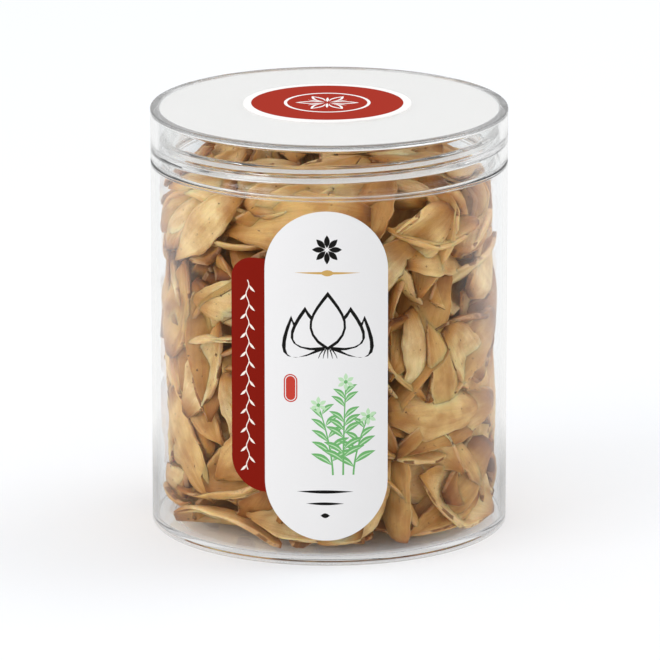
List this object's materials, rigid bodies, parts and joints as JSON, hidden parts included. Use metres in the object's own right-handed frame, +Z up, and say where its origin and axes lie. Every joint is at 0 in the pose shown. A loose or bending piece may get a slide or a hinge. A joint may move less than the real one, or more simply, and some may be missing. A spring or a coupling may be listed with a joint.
{
  "type": "jar of dried lily bulb scales",
  "caption": "Clear straight-sided jar with a clear screw lid, full of dried lily bulb scales that show through its wall, with a tall round-ended label and a side tab.",
  "frame": {"origin": "centre of the base, on the plane that the jar stands on", "axes": "+Z up along the jar's axis, -Y out of the middle of the front label, +X to the right of someone who reads that label"},
  "size_m": [0.085, 0.0853, 0.1015],
  "materials": {
    "clear_jar": "clear, moulded PET",
    "clear_lid": "clear, moulded polystyrene",
    "dried_flesh": "dried bulb flesh, dull with a faint waxy sheen",
    "white_board": "white liner board",
    "white_label": "coated white label paper",
    "red_label": "coated paper printed dark red",
    "red_sticker": "coated paper printed red"
  },
  "bodies": {
    "jar": {"jar_body": "clear_jar", "dried_scales": "dried_flesh", "front_label": "white_label", "side_label": "red_label"},
    "lid_lift": {"lid_liner": "white_board"},
    "lid": {"lid_shell": "clear_lid", "lid_sticker": "red_sticker"}
  },
  "joints": [
    {"name": "lid_rise", "type": "slide", "parent": "jar", "child": "lid_lift", "axis": [0, 0, 1], "range_m": [0, 0.0051]},
    {"name": "lid_turn", "type": "hinge", "parent": "lid_lift", "child": "lid", "pos_m": [0, 0, 0.0951], "axis": [0, 0, 1], "range_deg": [0, 360]}
  ],
  "couplings": [
    {"joint": "lid_rise", "follows": "lid_turn", "m_per_rad": 0.00079577}
  ]
}
